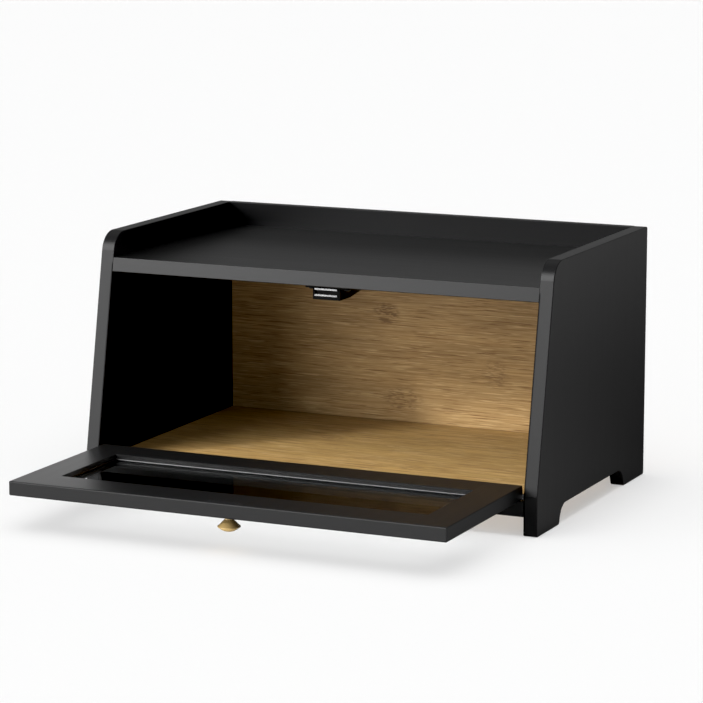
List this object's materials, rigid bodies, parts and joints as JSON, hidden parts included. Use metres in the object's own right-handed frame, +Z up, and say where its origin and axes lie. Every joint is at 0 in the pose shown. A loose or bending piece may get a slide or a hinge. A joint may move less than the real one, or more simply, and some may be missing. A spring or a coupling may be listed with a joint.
{
  "type": "bread box",
  "caption": "Countertop bread box with slanted sides, a tray-like top shelf with a low gallery, and a glazed door that drops open on pivot pins.",
  "frame": {"origin": "on the table, below the middle of the footprint that the box has with its door open", "axes": "+X to the right as seen from the door, +Y from the door towards the back, +Z up"},
  "size_m": [0.4, 0.3984, 0.212],
  "materials": {
    "black_lacquer": "satin black lacquer over bamboo board, faint grain",
    "bamboo_board": "clear satin bamboo, side-pressed strips",
    "bamboo_veneer": "clear satin bamboo ply, grain along X",
    "bamboo_turned": "turned and waxed bamboo",
    "dowel_wood": "plain beech",
    "screw_steel": "zinc-plated",
    "plate_steel": "bright nickel-plated",
    "pin_steel": "polished",
    "black_steel": "satin black",
    "black_plastic": "moulded, fine texture",
    "ferrite": "sintered ferrite",
    "clear_pane": "clear, polished",
    "clear_seal": "glossy translucent silicone bead"
  },
  "bodies": {
    "carcass": {"back_panel": "bamboo_veneer", "back_panel_screws": "screw_steel", "back_rail": "black_lacquer", "catch_housing": "black_plastic", "catch_magnet": "ferrite", "catch_pole_plates": "plate_steel", "catch_screws": "black_steel", "floor_board": "bamboo_board", "floor_dowels": "dowel_wood", "front_sill": "black_lacquer", "pivot_pin_left": "pin_steel", "pivot_pin_right": "pin_steel", "pivot_washer_left": "pin_steel", "pivot_washer_right": "pin_steel", "rail_dowels": "dowel_wood", "shelf_dowels": "dowel_wood", "side_panel_left": "black_lacquer", "side_panel_right": "black_lacquer", "top_shelf": "black_lacquer"},
    "door": {"door_stile_left": "black_lacquer", "door_stile_right": "black_lacquer", "door_top_rail": "black_lacquer", "door_bottom_rail": "black_lacquer", "door_dowels": "dowel_wood", "door_pane": "clear_pane", "pane_seals": "clear_seal", "strike_plate": "black_steel", "strike_screws": "black_steel", "door_knob": "bamboo_turned", "knob_stud": "screw_steel"}
  },
  "joints": [
    {"name": "door_hinge", "type": "hinge", "parent": "carcass", "child": "door", "pos_m": [0, -0.04815, 0.0308], "axis": [-1, 0, 0], "range_deg": [0, 100.69]}
  ]
}
